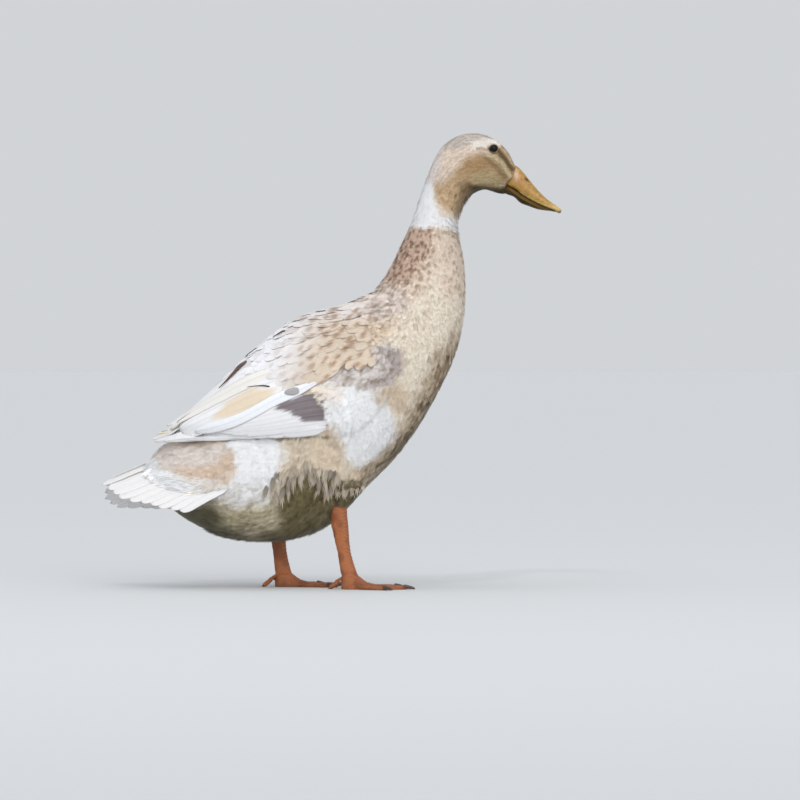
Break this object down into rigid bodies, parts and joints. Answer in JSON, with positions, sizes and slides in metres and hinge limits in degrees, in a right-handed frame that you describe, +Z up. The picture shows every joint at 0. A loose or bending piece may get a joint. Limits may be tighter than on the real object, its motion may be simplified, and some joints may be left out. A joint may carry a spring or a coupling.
{
  "type": "domestic duck hen, runner type",
  "caption": "Standing runner-type domestic duck hen, fawn and white: upright neck, folded wings, low fan tail, webbed feet. A still, life-size animal model.",
  "frame": {"origin": "on the floor, under the middle of the bird's box", "axes": "+X towards the bill, +Y towards the bird's left, +Z up from the floor"},
  "size_m": [0.4354, 0.1328, 0.4322],
  "materials": {
    "head_feathers": "fawn-brown short feathers",
    "neck_feathers": "white ring over fawn feathers with brown flecks",
    "body_feathers": "fawn and cream feathers, soft",
    "wing_feathers": "white and fawn flight feathers and coverts",
    "tail_feathers": "white tail feathers",
    "bill": "ochre-orange horn, satin",
    "eye": "wet, near black",
    "leg_skin": "orange scaled skin",
    "claw": "horn"
  },
  "bodies": {
    "root": {"head": "head_feathers", "neck": "neck_feathers", "trunk": "body_feathers", "wing_left": "wing_feathers", "wing_right": "wing_feathers", "tail": "tail_feathers", "thigh_right": "body_feathers", "bill_upper": "bill", "bill_lower": "bill", "eye_left": "eye", "eye_right": "eye", "leg_left": "leg_skin", "leg_right": "leg_skin", "foot_left": "leg_skin", "foot_right": "leg_skin", "hallux_left": "leg_skin", "hallux_right": "leg_skin", "claw_inner_left": "claw", "claw_middle_left": "claw", "claw_outer_left": "claw", "claw_inner_right": "claw", "claw_middle_right": "claw", "claw_outer_right": "claw"}
  },
  "joints": []
}
